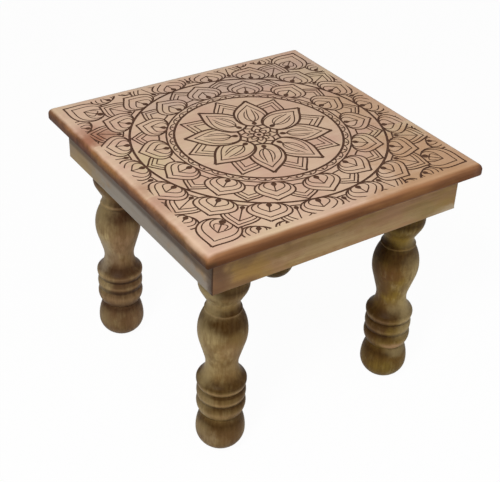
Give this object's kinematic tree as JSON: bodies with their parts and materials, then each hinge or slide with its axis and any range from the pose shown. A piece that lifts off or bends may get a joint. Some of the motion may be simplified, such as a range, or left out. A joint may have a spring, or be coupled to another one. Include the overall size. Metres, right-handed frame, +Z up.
{
  "type": "low table",
  "caption": "Low square wooden table on turned legs, with a moulded edge-glued top on a mitred apron frame and line ornament on the top, to set things on or to sit at.",
  "frame": {"origin": "on the floor, below the middle of the square top", "axes": "+Z up, +X to the right along the front edge, +Y to the back; the plank seams run along X"},
  "size_m": [0.305, 0.305, 0.2668],
  "materials": {
    "top_wood": "satin",
    "apron_wood": "satin",
    "leg_wood": "satin",
    "batten_wood": "matt",
    "dowel_wood": "matt",
    "screw_steel": "satin"
  },
  "bodies": {
    "root": {"front_plank": "top_wood", "middle_plank": "top_wood", "back_plank": "top_wood", "plank_dowels": "dowel_wood", "front_apron": "apron_wood", "right_apron": "apron_wood", "back_apron": "apron_wood", "left_apron": "apron_wood", "apron_dowels": "dowel_wood", "front_left_leg": "leg_wood", "front_right_leg": "leg_wood", "back_right_leg": "leg_wood", "back_left_leg": "leg_wood", "front_cleat": "batten_wood", "right_cleat": "batten_wood", "back_cleat": "batten_wood", "left_cleat": "batten_wood", "cleat_to_apron_screws": "screw_steel", "cleat_to_top_screws": "screw_steel"}
  },
  "joints": []
}
